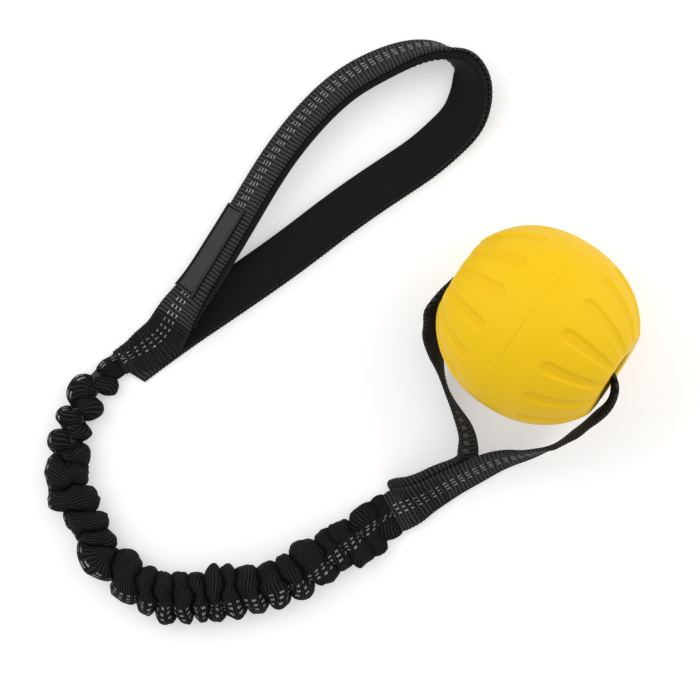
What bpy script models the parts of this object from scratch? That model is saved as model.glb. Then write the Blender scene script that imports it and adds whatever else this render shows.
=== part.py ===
"""A fetch ball on a bungee strap: webbing hand loop, gathered sleeve over an elastic core, and a
strap that runs through the bore of a fluted foam ball. It lies on a table, +Z up, in metres.

The strap is laid out from the neck, where the hand loop meets the bungee. The bungee's far end is
one span away, and the ball lies where its own loop puts it, so every piece follows the one before.
"""

import copy
import math

import bmesh
import bpy
import numpy as np
from mathutils import Matrix, Vector

# Webbing, the same all the way from the hand loop to the ball
WEBBING_WIDTH = 0.020
WEBBING_THICKNESS = 0.0018
SELVEDGE_ROUND = 0.0005
CLEARANCE = 0.0003  # left between two pieces that touch

# Where the neck lies, and how far the bungee spans from there
NECK_X = -0.1143
NECK_Y = -0.0350
NECK_WIDTH = 0.0125
BUNGEE_SPAN = 0.1432
BUNGEE_HEADING = math.radians(-28.8)

# Stations draw closer where a strap turns by a radian in less than this
TURN_ROOM = 0.015

# Hand loop
HANDLE_LENGTH = 0.2116
HANDLE_HEADING = math.radians(36.5)
HANDLE_STATION = 0.0058  # length of one facet along the loop
LINING_THICKNESS = 0.0026
LINING_WIDTH = 0.0192
LINING_SKIVED_THICKNESS = 0.0008  # at its two sewn ends
LINING_SKIVE_LENGTH = 0.024
REAR_END_SETBACK = 0.0035  # from the neck to the cut end of the lower layer
HANDLE_SEAM_SETBACK = 0.0055  # from the neck to the first sewn row
HANDLE_SEAM_ROWS = 3
HANDLE_SEAM_GAP = 0.0045
FRONT_LINING_SETBACK = 0.035
REAR_LINING_SETBACK = 0.0275

# Label patch on the front of the hand loop
LABEL_LENGTH = 0.044
LABEL_WIDTH = 0.0115
LABEL_THICKNESS = 0.0012
LABEL_RIM = 0.0010
LABEL_RECESS = 0.0004
LABEL_SETBACK = 0.0480  # from the neck to the patch's near end
LABEL_EDGE_MARGIN = 0.0004

# Sewing thread
THREAD_RADIUS = 0.00035
TACK_RADIUS = 0.0012
TACK_RIDGE = 0.0002
TACK_TURN = 0.0016  # one thread of a bar tack
STITCH_LENGTH = 0.0050

# Elastic core and the gathered sleeve round it
CORE_RADIUS = 0.0040
CORE_END_WIDTH = 0.0090
CORE_END_THICKNESS = 0.0014
CORE_FLAT_LENGTH = 0.014
SLEEVE_RADIUS = 0.0125
SLEEVE_FABRIC = 0.0012
SLEEVE_FLAT_LENGTH = 0.020
SLEEVE_FLOOR_FLAT = 0.0005
GATHER_DEPTH = 0.0032
GATHER_COUNT = 28
RINGS_PER_GATHER = 4
SLEEVE_SIDES = 12

# Ball
BALL_RADIUS = 0.0425  # about the bore, at the parting line
BALL_LENGTHENING = 1.05  # half the ball's length along the bore, before its flats, in radii
BALL_FULLNESS = 2.15  # exponent of its profile, which is 2 for an ellipse
BALL_FLAT_SHARE = 0.888  # of half the length, from the centre to each flat end
BORE_CLEARANCE = 0.0015  # beside the strap
BORE_LIP = 0.0012
BORE_HEADING = math.radians(-33.8)
BORE_TILT = math.radians(10)
PARTING_DEPTH = 0.0003
PARTING_WIDTH = 0.0010
FLUTE_COUNT = 15
FLUTE_DEPTH = 0.0020
FLUTE_START_SHARE = 0.388  # of the radius, from the parting line
FLUTE_ROUND = 0.0040  # length over which a flute's closed end deepens
FLUTE_PHASE = math.radians(5)
COLUMNS_PER_FLUTE = 5

# Loop that carries the ball
LOOP_STATION = 0.0045
SEWN_LENGTH = 0.030  # of the strap's tail under its start
TAIL_SHIFT = 0.0030
TAIL_END_GAP = 0.0020
TAIL_TACK_SETBACK = 0.018

# Bungee's middle line, in shares of the span: along it, and to its left
BUNGEE_ROUTE_SHARES = [
    (0.000, 0.000), (-0.007, -0.013), (-0.022, -0.040), (-0.036, -0.084), (-0.046, -0.132), (-0.042, -0.180),
    (-0.038, -0.226), (-0.030, -0.272), (-0.014, -0.316), (0.005, -0.356), (0.026, -0.396),
    (0.050, -0.430), (0.082, -0.462), (0.120, -0.490), (0.158, -0.514), (0.198, -0.542),
    (0.244, -0.566), (0.294, -0.582), (0.342, -0.594), (0.390, -0.600), (0.438, -0.598),
    (0.487, -0.584), (0.540, -0.558), (0.598, -0.520), (0.655, -0.477), (0.716, -0.430),
    (0.768, -0.382), (0.815, -0.324), (0.856, -0.252), (0.902, -0.164), (0.948, -0.081),
    (0.985, -0.023), (1.000, 0.000),
]
# Peak radius of the gathers: share of the length, share of SLEEVE_RADIUS
SLEEVE_GIRTH_SHARES = [
    (0.00, 0.50), (0.03, 0.62), (0.08, 0.70), (0.15, 0.82), (0.30, 0.90), (0.45, 0.96),
    (0.60, 1.00), (0.76, 1.05), (0.88, 1.00), (0.96, 0.90), (1.00, 0.80),
]
SLEEVE_HEIGHT_SHARE = 0.86
GATHER_SLANT_SHARE = 0.24  # of one gather, between the outer and the inner side
CREASE_SHARES = (0.0, 0.82, 1.0, 0.78)  # of the gather's height, ring by ring

# Hand loop: along and across in shares of HANDLE_LENGTH, lean in degrees, and the rise of the
# strap in shares of one lined strap. Lean 0 is flat, 90 on edge, 180 flat with the lining up.
HANDLE_ROUTE_SHARES = [
    (0.000, -0.017, 180, 0.00), (0.098, -0.017, 180, 0.00), (0.155, -0.018, 180, 0.00),
    (0.230, -0.020, 180, 0.00), (0.323, -0.023, 180, 0.00), (0.445, -0.023, 180, 0.00),
    (0.537, -0.020, 180, 0.00), (0.627, -0.019, 180, 0.00), (0.734, -0.027, 180, 0.00),
    (0.800, -0.029, 179, 0.00), (0.854, -0.026, 175, 0.00), (0.912, -0.016, 165, 0.00),
    (0.945, 0.001, 152, 0.00), (0.969, 0.024, 139, 0.02), (0.984, 0.048, 124, 0.04),
    (0.990, 0.074, 108, 0.06), (0.984, 0.101, 93, 0.08), (0.967, 0.127, 79, 0.10),
    (0.941, 0.150, 69, 0.12), (0.884, 0.176, 57, 0.14), (0.830, 0.189, 51, 0.16),
    (0.759, 0.198, 49, 0.16), (0.637, 0.186, 49, 0.16), (0.528, 0.156, 50, 0.16),
    (0.408, 0.108, 50, 0.16), (0.300, 0.064, 48, 0.18), (0.217, 0.034, 42, 0.34),
    (0.159, 0.0145, 24, 0.44), (0.130, 0.003, 14, 0.26), (0.109, -0.004, 7, 0.03),
    (0.085, -0.0075, 2, 0.00), (0.060, -0.0065, 0, 0.00), (0.030, -0.0035, 0, 0.00),
    (0.000, 0.000, 0, 0.00),
]
# Width of the strap near the neck: share of NECK_WIDTH from the neck, share of the full width
NECK_TAPER_SHARES = [(0.0, 0.60), (0.45, 0.72), (0.95, 0.93), (1.40, 1.00)]

# Ball's loop, seen from the ball's centre in shares of BALL_RADIUS: x, y, rise, lean in degrees
FIRST_LEG_SHARES = [
    (-1.462, -2.010, 0.000, 0), (-1.431, -1.993, 0.000, 1), (-1.336, -1.946, 0.000, 14),
    (-1.195, -1.878, 0.000, 34), (-1.024, -1.783, 0.000, 43), (-0.842, -1.679, 0.000, 48),
    (-0.659, -1.584, 0.000, 51), (-0.486, -1.500, 0.000, 55), (-0.284, -1.428, 0.000, 64),
    (-0.110, -1.386, 0.028, 73), (0.040, -1.343, 0.094, 80), (0.232, -1.270, 0.188, 86),
    (0.346, -1.194, 0.294, 90), (0.482, -1.092, 0.424, 92), (0.593, -0.986, 0.565, 91),
    (0.704, -0.857, 0.740, 90), (0.757, -0.748, 0.840, 90), (0.774, -0.648, 0.900, 90),
    (0.768, -0.572, 0.932, 90),
]
BORE_STATION_SHARES = (0.94, 0.50, 0.00, -0.50, -0.94)  # of the way from the centre to a flat
SECOND_LEG_SHARES = [
    (-0.800, 0.505, 0.610, 90), (-0.852, 0.487, 0.600, 90), (-0.905, 0.440, 0.580, 92),
    (-1.024, 0.299, 0.546, 97), (-1.065, 0.224, 0.485, 102), (-1.079, 0.106, 0.378, 108),
    (-1.076, 0.005, 0.284, 111), (-1.057, -0.133, 0.179, 112), (-1.016, -0.290, 0.096, 109),
    (-0.986, -0.410, 0.060, 102), (-0.953, -0.552, 0.030, 96), (-0.909, -0.698, 0.010, 95),
    (-0.830, -0.867, 0.000, 99), (-0.767, -0.989, 0.000, 105), (-0.717, -1.098, 0.000, 110),
    (-0.687, -1.208, 0.000, 114), (-0.684, -1.300, 0.000, 118), (-0.702, -1.385, 0.000, 122),
]

# Rows of the ball's half profile up to the flat, in degrees whose sine is the share of its length
BALL_LATITUDES = (8, 15, 20.5, 24, 28.5, 35, 42, 49, 56)

UP = np.array([0.0, 0.0, 1.0])


def spline(rows, at):
    """Natural cubic curve through the rows, with chord length of the first three columns as
    its parameter. at is an array of parameters, as shares of the whole."""
    rows = np.asarray(rows, float)
    chords = np.linalg.norm(np.diff(rows[:, :3], axis=0), axis=1)
    knots = np.concatenate([[0.0], np.cumsum(chords)])
    count = len(rows)
    system = np.eye(count)
    right = np.zeros_like(rows)
    for i in range(1, count - 1):
        before, after = knots[i] - knots[i - 1], knots[i + 1] - knots[i]
        system[i, i - 1: i + 2] = before, 2 * (before + after), after
        right[i] = 6 * ((rows[i + 1] - rows[i]) / after - (rows[i] - rows[i - 1]) / before)
    bend = np.linalg.solve(system, right)
    x = np.clip(np.asarray(at), 0, 1) * knots[-1]
    i = np.clip(np.searchsorted(knots, x, side="right") - 1, 0, count - 2)
    step = (knots[i + 1] - knots[i])[:, None]
    low, high = (knots[i + 1] - x)[:, None], (x - knots[i])[:, None]
    return (
        (bend[i] * low**3 + bend[i + 1] * high**3) / (6 * step)
        + (rows[i] / step - bend[i] * step / 6) * low
        + (rows[i + 1] / step - bend[i + 1] * step / 6) * high
    )


def unit(vectors):
    return vectors / np.linalg.norm(vectors, axis=-1, keepdims=True)


class Strap:
    """Sampled middle line of a strap, with its lean: where it runs, which way is across it, and
    which way its outer face looks."""

    def __init__(self, rows, station, start_trim=0.0, end_trim=0.0):
        fine = spline(rows, np.linspace(0, 1, 40 * len(rows)))
        lengths = np.linalg.norm(np.diff(fine[:, :3], axis=0), axis=1)
        run = np.concatenate([[0.0], np.cumsum(lengths)])
        self.total = run[-1]
        self.fine, self.fine_run = fine, run
        inside = np.linspace(start_trim, self.total - end_trim, len(fine))
        turns = np.linalg.norm(np.diff(self.at(inside)[3], axis=0), axis=1)
        effort = np.concatenate([[0.0], np.cumsum(np.diff(inside) + TURN_ROOM * turns)])
        count = max(4, round(effort[-1] / station) + 1)
        self.run = np.interp(np.linspace(0, effort[-1], count), effort, inside)
        self.centre, self.along, self.across, self.normal = self.at(self.run)

    def at(self, run):
        """Centre, direction, across and normal at the given lengths along the strap."""
        run = np.atleast_1d(run)
        columns = [np.interp(run, self.fine_run, column) for column in self.fine.T]
        centre = np.stack(columns[:3], axis=1)
        slopes = np.gradient(self.fine[:, :3], self.fine_run, axis=0)
        along = unit(np.stack([np.interp(run, self.fine_run, s) for s in slopes.T], axis=1))
        lean = columns[3][:, None]
        left = unit(np.stack([-along[:, 1], along[:, 0], 0 * run], axis=1))
        across = np.cos(lean) * left + np.sin(lean) * UP
        across = unit(across - (across * along).sum(1, keepdims=True) * along)
        return centre, along, across, np.cross(along, across)

    def part(self, first, last):
        """The same stations between two lengths."""
        kept = (self.run >= first) & (self.run <= last)
        some = copy.copy(self)
        some.run = self.run[kept]
        some.centre, some.along = self.centre[kept], self.along[kept]
        some.across, some.normal = self.across[kept], self.normal[kept]
        return some

    def put(self, run, sideways, off):
        """Points on the facets between the stations: at a length, sideways across the strap
        and off its outer face."""
        run = np.atleast_1d(run)

        def between(rows):
            return np.stack([np.interp(run, self.run, column) for column in rows.T], axis=1)

        sideways, off = np.atleast_1d(sideways)[:, None], np.atleast_1d(off)[:, None]
        return (
            between(self.centre) + between(self.across) * sideways + between(self.normal) * off
        )


def material(name, colour, roughness):
    made = bpy.data.materials.new(name)
    made.use_nodes = True
    shader = made.node_tree.nodes["Principled BSDF"]
    shader.inputs["Base Color"].default_value = (*colour, 1)
    shader.inputs["Roughness"].default_value = roughness
    shader.inputs["Metallic"].default_value = 0
    made.diffuse_color = (*colour, 1)
    return made


def joint_frame(name, place, parent=None):
    """An empty on a joint's axis, which carries the pieces that move with it."""
    frame = bpy.data.objects.new(name, None)
    bpy.context.collection.objects.link(frame)
    frame.parent = parent
    frame.location = Vector(place) - (parent.matrix_world.translation if parent else Vector())
    bpy.context.view_layer.update()
    return frame


def add_piece(name, data, finish, frame):
    """Links a mesh or curve that is drawn in world places, with its origin on its frame."""
    data.transform(Matrix.Translation(-frame.matrix_world.translation))
    data.materials.append(finish)
    piece = bpy.data.objects.new(name, data)
    bpy.context.collection.objects.link(piece)
    piece.parent = frame
    return piece


def skin(name, rings, inner=None, closed=False):
    """A mesh over rings of points: capped at both ends, or open inside where inner rings are
    given, or closed on itself."""
    work = bmesh.new()

    def wall(points):
        loops = [[work.verts.new(p) for p in ring] for ring in points]
        following = loops[1:] + loops[:1] if closed else loops[1:]
        for one, two in zip(loops, following):
            for i in range(len(one)):
                j = (i + 1) % len(one)
                # Both faces of a band are split along the same diagonal, so layers stay apart
                if i < len(one) / 2:
                    work.faces.new((one[i], one[j], two[j]))
                    work.faces.new((one[i], two[j], two[i]))
                else:
                    work.faces.new((one[i], one[j], two[i]))
                    work.faces.new((one[j], two[j], two[i]))
        return loops

    outer = wall(rings)
    if inner is not None:
        hollow = wall(inner)
        for end in (0, -1):
            for i in range(len(outer[end])):
                j = (i + 1) % len(outer[end])
                work.faces.new((outer[end][i], outer[end][j], hollow[end][j], hollow[end][i]))
    elif not closed:
        work.faces.new(outer[0])
        work.faces.new(outer[-1])
    bmesh.ops.recalc_face_normals(work, faces=work.faces)
    mesh = bpy.data.meshes.new(name)
    work.to_mesh(mesh)
    work.free()
    mesh.shade_smooth()
    mesh.set_sharp_from_angle(angle=math.radians(40))
    return mesh


def band_section(width, thickness, corner):
    """Outline of flat webbing with rounded edges: across it and through it, one row a point."""
    side, half = width / 2, thickness / 2
    return np.array([
        (-side, half - corner), (-side, corner - half), (corner - side, -half),
        (side - corner, -half), (side, corner - half), (side, half - corner),
        (side - corner, half), (corner - side, half),
    ])


def band_rings(strap, sections, off):
    """Each section drawn on its own station of the strap, off its outer face."""
    rings = []
    for centre, across, normal, section, lift in zip(
        strap.centre, strap.across, strap.normal, sections, off
    ):
        rings.append([centre + across * u + normal * (v + lift) for u, v in section])
    return rings


def thread(name, points, finish, frame, cyclic=False):
    """A run of sewing thread through the points."""
    curve = bpy.data.curves.new(name, "CURVE")
    curve.dimensions = "3D"
    curve.bevel_depth = THREAD_RADIUS
    curve.bevel_resolution = 0
    curve.use_fill_caps = True
    line = curve.splines.new("POLY")
    line.points.add(len(points) - 1)
    for place, point in zip(line.points, points):
        place.co = (*point, 1)
    line.use_cyclic_u = cyclic
    return add_piece(name, curve, finish, frame)


def bar_tack(name, place, direction, length, finish, frame):
    """A ridged bar of thread across the strap, on a joint's axis."""
    turns = round(length / TACK_TURN)
    side = np.cross(direction, UP)
    angles = np.linspace(0, 2 * math.pi, 8, endpoint=False)
    rings = []
    for i in range(2 * turns + 1):
        radius = TACK_RADIUS - TACK_RIDGE * (1 - i % 2)
        centre = place + direction * length * (i / (2 * turns) - 1 / 2)
        rings.append([
            centre + radius * (math.cos(a) * side + math.sin(a) * UP) for a in angles
        ])
    return add_piece(name, skin(name, rings), finish, frame)


def rest_height(lean, below_flat, below_turned):
    """Height of a leaning strap's middle when its lower edge touches the table."""
    return (
        WEBBING_WIDTH / 2 * math.sin(lean)
        + max(math.cos(lean), 0) * below_flat
        + max(-math.cos(lean), 0) * below_turned
    )


def heading(angle):
    return np.array([math.cos(angle), math.sin(angle), 0.0])


def ball_girth(axial):
    """The ball's radius at a distance from its parting line: a full ellipse's."""
    share = np.abs(axial) / (BALL_LENGTHENING * BALL_RADIUS)
    return BALL_RADIUS * (1 - share**BALL_FULLNESS) ** (1 / BALL_FULLNESS)


def ball_rise():
    """Height of the ball's centre when it rests with its bore tilted."""
    axial = np.linspace(0, BALL_RADIUS / 2, 200)
    return np.max(ball_girth(axial) * math.cos(BORE_TILT) + axial * math.sin(BORE_TILT))


# Height of the upper of two layers of webbing, at which both tacks lie too
SECOND_LAYER = WEBBING_THICKNESS * 3 / 2 + CLEARANCE
LINED_STRAP = WEBBING_THICKNESS + LINING_THICKNESS + 2 * CLEARANCE
TACK_ROOM = TACK_RADIUS + CLEARANCE

neck = np.array([NECK_X, NECK_Y, SECOND_LAYER])
bungee_along = heading(BUNGEE_HEADING)
bungee_left = heading(BUNGEE_HEADING + math.pi / 2)
loop_start = neck + BUNGEE_SPAN * bungee_along
first_x, first_y = FIRST_LEG_SHARES[0][:2]
ball_half_length = BALL_LENGTHENING * BALL_RADIUS
ball_flat_offset = BALL_FLAT_SHARE * ball_half_length
ball_centre = np.array([
    loop_start[0] - first_x * BALL_RADIUS, loop_start[1] - first_y * BALL_RADIUS, ball_rise()
])
bore_axis = math.cos(BORE_TILT) * heading(BORE_HEADING) + math.sin(BORE_TILT) * UP


def handle_strap():
    """The hand loop's webbing, from its cut end under the neck, round the tip and back."""
    along, left = heading(HANDLE_HEADING), heading(HANDLE_HEADING + math.pi / 2)
    rows = []
    for reach, offset, degrees, rise in HANDLE_ROUTE_SHARES:
        lean = math.radians(degrees)
        place = neck + HANDLE_LENGTH * (reach * along + offset * left)
        place[2] = rest_height(lean, SECOND_LAYER, WEBBING_THICKNESS / 2) + rise * LINED_STRAP
        rows.append((*place, lean))
    return Strap(rows, HANDLE_STATION, REAR_END_SETBACK, TACK_ROOM)


def loop_strap():
    """The ball's loop: from the bungee round to the bore, through it, round again and back
    under its own start, where the tail lies against the first leg."""
    def leg(shares):
        rows = []
        for x, y, rise, degrees in shares:
            lean = math.radians(degrees)
            place = ball_centre + BALL_RADIUS * np.array([x, y, 0])
            place[2] = rest_height(lean, SECOND_LAYER, SECOND_LAYER) + rise * BALL_RADIUS
            rows.append((*place, lean))
        return rows

    first = leg(FIRST_LEG_SHARES)
    start = Strap(first, LOOP_STATION)
    through = [
        (*(ball_centre + bore_axis * ball_flat_offset * share), math.pi / 2)
        for share in BORE_STATION_SHARES
    ]
    tail = []
    for run in np.arange(SEWN_LENGTH, 0, -LOOP_STATION):
        _, along, across, _ = start.at(run)
        off = -(WEBBING_THICKNESS + CLEARANCE)
        lean = math.atan2(across[0, 2], -np.cross(UP, -along[0]) @ -across[0])
        tail.append((*start.put(run, TAIL_SHIFT, off)[0], lean))
    rows = first + through + leg(SECOND_LEG_SHARES) + tail
    return Strap(rows, LOOP_STATION, TACK_ROOM, TAIL_END_GAP)


def neck_taper(strap, from_end):
    """Width of the strap at each station, drawn in towards the neck."""
    away = (strap.total - strap.run if from_end else strap.run) / NECK_WIDTH
    steps, widths = zip(*NECK_TAPER_SHARES)
    return WEBBING_WIDTH * np.interp(away, steps, widths)


def make_handle(strap, frame, webbing, foam, rubber, yarn):
    widths = neck_taper(strap, from_end=True)
    sections = [band_section(w, WEBBING_THICKNESS, SELVEDGE_ROUND) for w in widths]
    level = np.zeros(len(strap.run))
    rings = band_rings(strap, sections, level)
    add_piece("handle_webbing", skin("handle_webbing", rings), webbing, frame)

    first, last = REAR_LINING_SETBACK, strap.total - FRONT_LINING_SETBACK
    lined = strap.part(first, last)
    first, last = lined.run[0], lined.run[-1]
    ends = np.minimum(lined.run - first, last - lined.run) / LINING_SKIVE_LENGTH
    thickness = LINING_SKIVED_THICKNESS + np.clip(ends, 0, 1) * (
        LINING_THICKNESS - LINING_SKIVED_THICKNESS
    )
    sections = [
        band_section(LINING_WIDTH, t, min(SELVEDGE_ROUND, t / 3)) for t in thickness
    ]
    under = -(WEBBING_THICKNESS / 2 + CLEARANCE + thickness / 2)
    add_piece("handle_lining", skin("handle_lining", band_rings(lined, sections, under)),
              foam, frame)

    # Running stitch round the lining's edge, out along one side and back along the other
    inset = LINING_WIDTH / 2 - 3 * THREAD_RADIUS
    run = lined.run[1:-1:2]
    face = -(WEBBING_THICKNESS / 2 + 3 * CLEARANCE + THREAD_RADIUS)
    off = face - thickness[1:-1:2]
    out = strap.put(run, np.full(len(run), inset), off)
    back = strap.put(run[::-1], np.full(len(run), -inset), off[::-1])
    thread("lining_stitching", np.concatenate([out, back]), yarn, frame, cyclic=True)

    make_label(strap, frame, rubber, yarn)
    make_seam(strap, frame, yarn)


def make_label(strap, frame, rubber, yarn):
    """A bare patch with a raised rim, sewn to the front face along its lower edge."""
    far = strap.total - LABEL_SETBACK - LABEL_LENGTH
    near = strap.total - LABEL_SETBACK
    middle = LABEL_EDGE_MARGIN + LABEL_WIDTH / 2 - WEBBING_WIDTH / 2
    stops = np.linspace(far + LABEL_RIM, near - LABEL_RIM, 8)
    run = np.concatenate([[far], stops[:1] - TACK_RIDGE, stops, stops[-1:] + TACK_RIDGE, [near]])
    side, rim, top = LABEL_WIDTH / 2, LABEL_WIDTH / 2 - LABEL_RIM, LABEL_THICKNESS
    seat = WEBBING_THICKNESS / 2 + CLEARANCE
    rings = []
    for i, length in enumerate(run):
        floor = top - (LABEL_RECESS if 2 <= i < len(run) - 2 else 0.0)
        outline = [
            (-side, 0), (side, 0), (side, top), (rim, top), (rim - TACK_RIDGE, floor),
            (TACK_RIDGE - rim, floor), (-rim, top), (-side, top),
        ]
        rings.append([strap.put(length, middle + u, seat + v)[0] for u, v in outline])
    add_piece("label_patch", skin("label_patch", rings), rubber, frame)

    line = rim - 3 * THREAD_RADIUS
    ends = LABEL_RIM + 3 * THREAD_RADIUS
    run = np.linspace(far + ends, near - ends, 8)
    off = seat + top - LABEL_RECESS + CLEARANCE + THREAD_RADIUS
    one = strap.put(run, np.full(len(run), middle + line), np.full(len(run), off))
    two = strap.put(run[::-1], np.full(len(run), middle - line), np.full(len(run), off))
    thread("label_stitching", np.concatenate([one, two]), yarn, frame, cyclic=True)


def zigzag(strap, start, rows, row_gap, reach, swing):
    """Points of a sewn patch: rows across the strap, each a zigzag, joined end to end."""
    points = []
    teeth = round(2 * reach / TACK_TURN)
    off = WEBBING_THICKNESS / 2 + CLEARANCE + THREAD_RADIUS
    for row in range(rows):
        for tooth in range(teeth + 1):
            across = (2 * tooth / teeth - 1) * reach * (1 if row % 2 == 0 else -1)
            run = start + row * row_gap + (swing / 2 if tooth % 2 else -swing / 2)
            points.append(strap.put(run, across, off)[0])
    return points


def make_seam(strap, frame, yarn):
    """The sewn patch that joins the hand loop's two ends, between the neck and its taper."""
    reach = NECK_WIDTH / 2 - TACK_RADIUS
    start = strap.total - HANDLE_SEAM_SETBACK - (HANDLE_SEAM_ROWS - 1) * HANDLE_SEAM_GAP
    points = zigzag(strap, start, HANDLE_SEAM_ROWS, HANDLE_SEAM_GAP, reach, TACK_TURN)
    thread("handle_joint_stitching", points, yarn, frame)


def make_loop(strap, frame, webbing, yarn):
    sections = [band_section(WEBBING_WIDTH, WEBBING_THICKNESS, SELVEDGE_ROUND)] * len(strap.run)
    rings = band_rings(strap, sections, np.zeros(len(strap.run)))
    add_piece("ball_strap", skin("ball_strap", rings), webbing, frame)
    reach = WEBBING_WIDTH / 2 - STITCH_LENGTH / 3
    points = zigzag(strap, TAIL_TACK_SETBACK, 1, 0, reach, TACK_TURN)
    thread("ball_tail_stitching", points, yarn, frame)


def bungee_line():
    """The bungee's middle line on the table plane, with its far end turned into the loop."""
    rows = []
    for along, left in BUNGEE_ROUTE_SHARES:
        place = neck + BUNGEE_SPAN * (along * bungee_along + left * bungee_left)
        rows.append((*place[:2], 0.0, 0.0))
    return Strap(rows, BUNGEE_SPAN / 40, TACK_ROOM, TACK_ROOM)


def make_bungee(line, frame, webbing, elastic):
    length = line.total - 2 * TACK_ROOM
    angles = np.linspace(0, 2 * math.pi, SLEEVE_SIDES, endpoint=False)
    sides, heights = np.cos(angles), np.sin(angles)

    def shape(run):
        """Peak half width and half height of the sleeve, and how far it has rounded."""
        from_end = np.minimum(run - TACK_ROOM, line.total - TACK_ROOM - run)
        round_share = np.clip(from_end / SLEEVE_FLAT_LENGTH, 0, 1)
        round_share = round_share**2 * (3 - 2 * round_share)
        steps, girths = zip(*SLEEVE_GIRTH_SHARES)
        wide = SLEEVE_RADIUS * np.interp((run - TACK_ROOM) / length, steps, girths)
        flat = CORE_END_THICKNESS / 2 + CLEARANCE + SLEEVE_FABRIC
        high = flat + round_share * (wide * SLEEVE_HEIGHT_SHARE - flat)
        lift = SECOND_LAYER + round_share * (high - SLEEVE_FLOOR_FLAT - SECOND_LAYER)
        return wide, high, lift, round_share

    def section(run, wide, high, lift):
        centre, along, _, _ = line.at(run)
        left = np.cross(UP, along[0])
        points = centre[0] + np.outer(sides * wide, left) + np.outer(heights * high + lift, UP)
        points[:, 2] = np.maximum(points[:, 2], 0)
        return points

    count = GATHER_COUNT * RINGS_PER_GATHER
    rings = []
    for i in range(count + 1):
        run = TACK_ROOM + length * i / count
        wide, high, lift, rounded = shape(run)
        phase = (i / RINGS_PER_GATHER + GATHER_SLANT_SHARE * sides) % 1
        crest = np.interp(phase, np.linspace(0, 1, RINGS_PER_GATHER + 1),
                          (*CREASE_SHARES, CREASE_SHARES[0]))
        drawn_in = 1 - (1 - crest) * rounded * GATHER_DEPTH / SLEEVE_RADIUS
        rings.append(section(run, wide * drawn_in, high * drawn_in, lift))

    def core_shape(run):
        from_end = np.minimum(run - TACK_ROOM, line.total - TACK_ROOM - run)
        share = np.clip(from_end / CORE_FLAT_LENGTH, 0, 1)
        share = share**2 * (3 - 2 * share)
        wide = CORE_END_WIDTH / 2 + share * (CORE_RADIUS - CORE_END_WIDTH / 2)
        high = CORE_END_THICKNESS / 2 + share * (CORE_RADIUS - CORE_END_THICKNESS / 2)
        return wide, high

    bore, core = [], []
    for run in np.linspace(TACK_ROOM, line.total - TACK_ROOM, count // 2 + 1):
        lift = shape(run)[2]
        wide, high = core_shape(run)
        core.append(section(run, wide, high, lift))
        bore.append(section(run, wide + CLEARANCE, high + CLEARANCE, lift))
    add_piece("bungee_sleeve", skin("bungee_sleeve", rings, inner=bore), webbing, frame)
    add_piece("elastic_core", skin("elastic_core", core), elastic, frame)


def ball_profile():
    """Rows of the ball's half profile, from the parting line to the bore: distance along the
    axis, radius, and the share of the flutes' depth there."""
    rows = [(PARTING_WIDTH, ball_girth(PARTING_WIDTH), 0.0)]
    for latitude in BALL_LATITUDES:
        axial = ball_half_length * math.sin(math.radians(latitude))
        share = min(max((axial - FLUTE_START_SHARE * BALL_RADIUS) / FLUTE_ROUND, 0), 1)
        rows.append((axial, ball_girth(axial), math.sqrt(share * (2 - share))))
    rim = ball_girth(ball_flat_offset)
    bore = WEBBING_WIDTH / 2 + BORE_CLEARANCE
    soften = BORE_LIP / 2
    rows += [
        (ball_flat_offset - soften, rim + soften, 1.0), (ball_flat_offset, rim - soften, 0.7),
        (ball_flat_offset, bore + BORE_LIP, 0.0),
        (ball_flat_offset - BORE_LIP / 3, bore + BORE_LIP / 3, 0.0),
        (ball_flat_offset - BORE_LIP, bore, 0.0),
    ]
    return rows


def make_ball(frame, foam):
    """Two fluted halves in one moulding, turned round the bore: each row of the profile is a
    ring, drawn in by the flutes, and the rings close through the bore."""
    half = ball_profile()
    middle = [(0.0, BALL_RADIUS - PARTING_DEPTH, 0.0)]
    rows = [(-a, r, d) for a, r, d in reversed(half)] + middle + half
    columns = FLUTE_COUNT * COLUMNS_PER_FLUTE
    rings = []
    for axial, radius, share in rows:
        ring = []
        for i in range(columns):
            step = (i % COLUMNS_PER_FLUTE) / COLUMNS_PER_FLUTE
            away = min(step, 1 - step) * 2
            groove = max(math.cos(math.pi * min(away / 0.62, 1)) / 2 + 1 / 2, 0)
            inward = radius - FLUTE_DEPTH * share * groove
            angle = FLUTE_PHASE + 2 * math.pi * i / columns
            ring.append((inward * math.cos(angle), inward * math.sin(angle), axial))
        rings.append(ring)
    mesh = skin("ball", rings, closed=True)
    mesh.materials.append(foam)
    ball = bpy.data.objects.new("ball", mesh)
    bpy.context.collection.objects.link(ball)
    ball.parent = frame
    aim = Vector(bore_axis)
    top = Vector(UP) - aim * aim.z
    top.normalize()
    side = aim.cross(top)
    ball.rotation_euler = Matrix((top, side, aim)).transposed().to_euler()
    return ball


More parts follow.
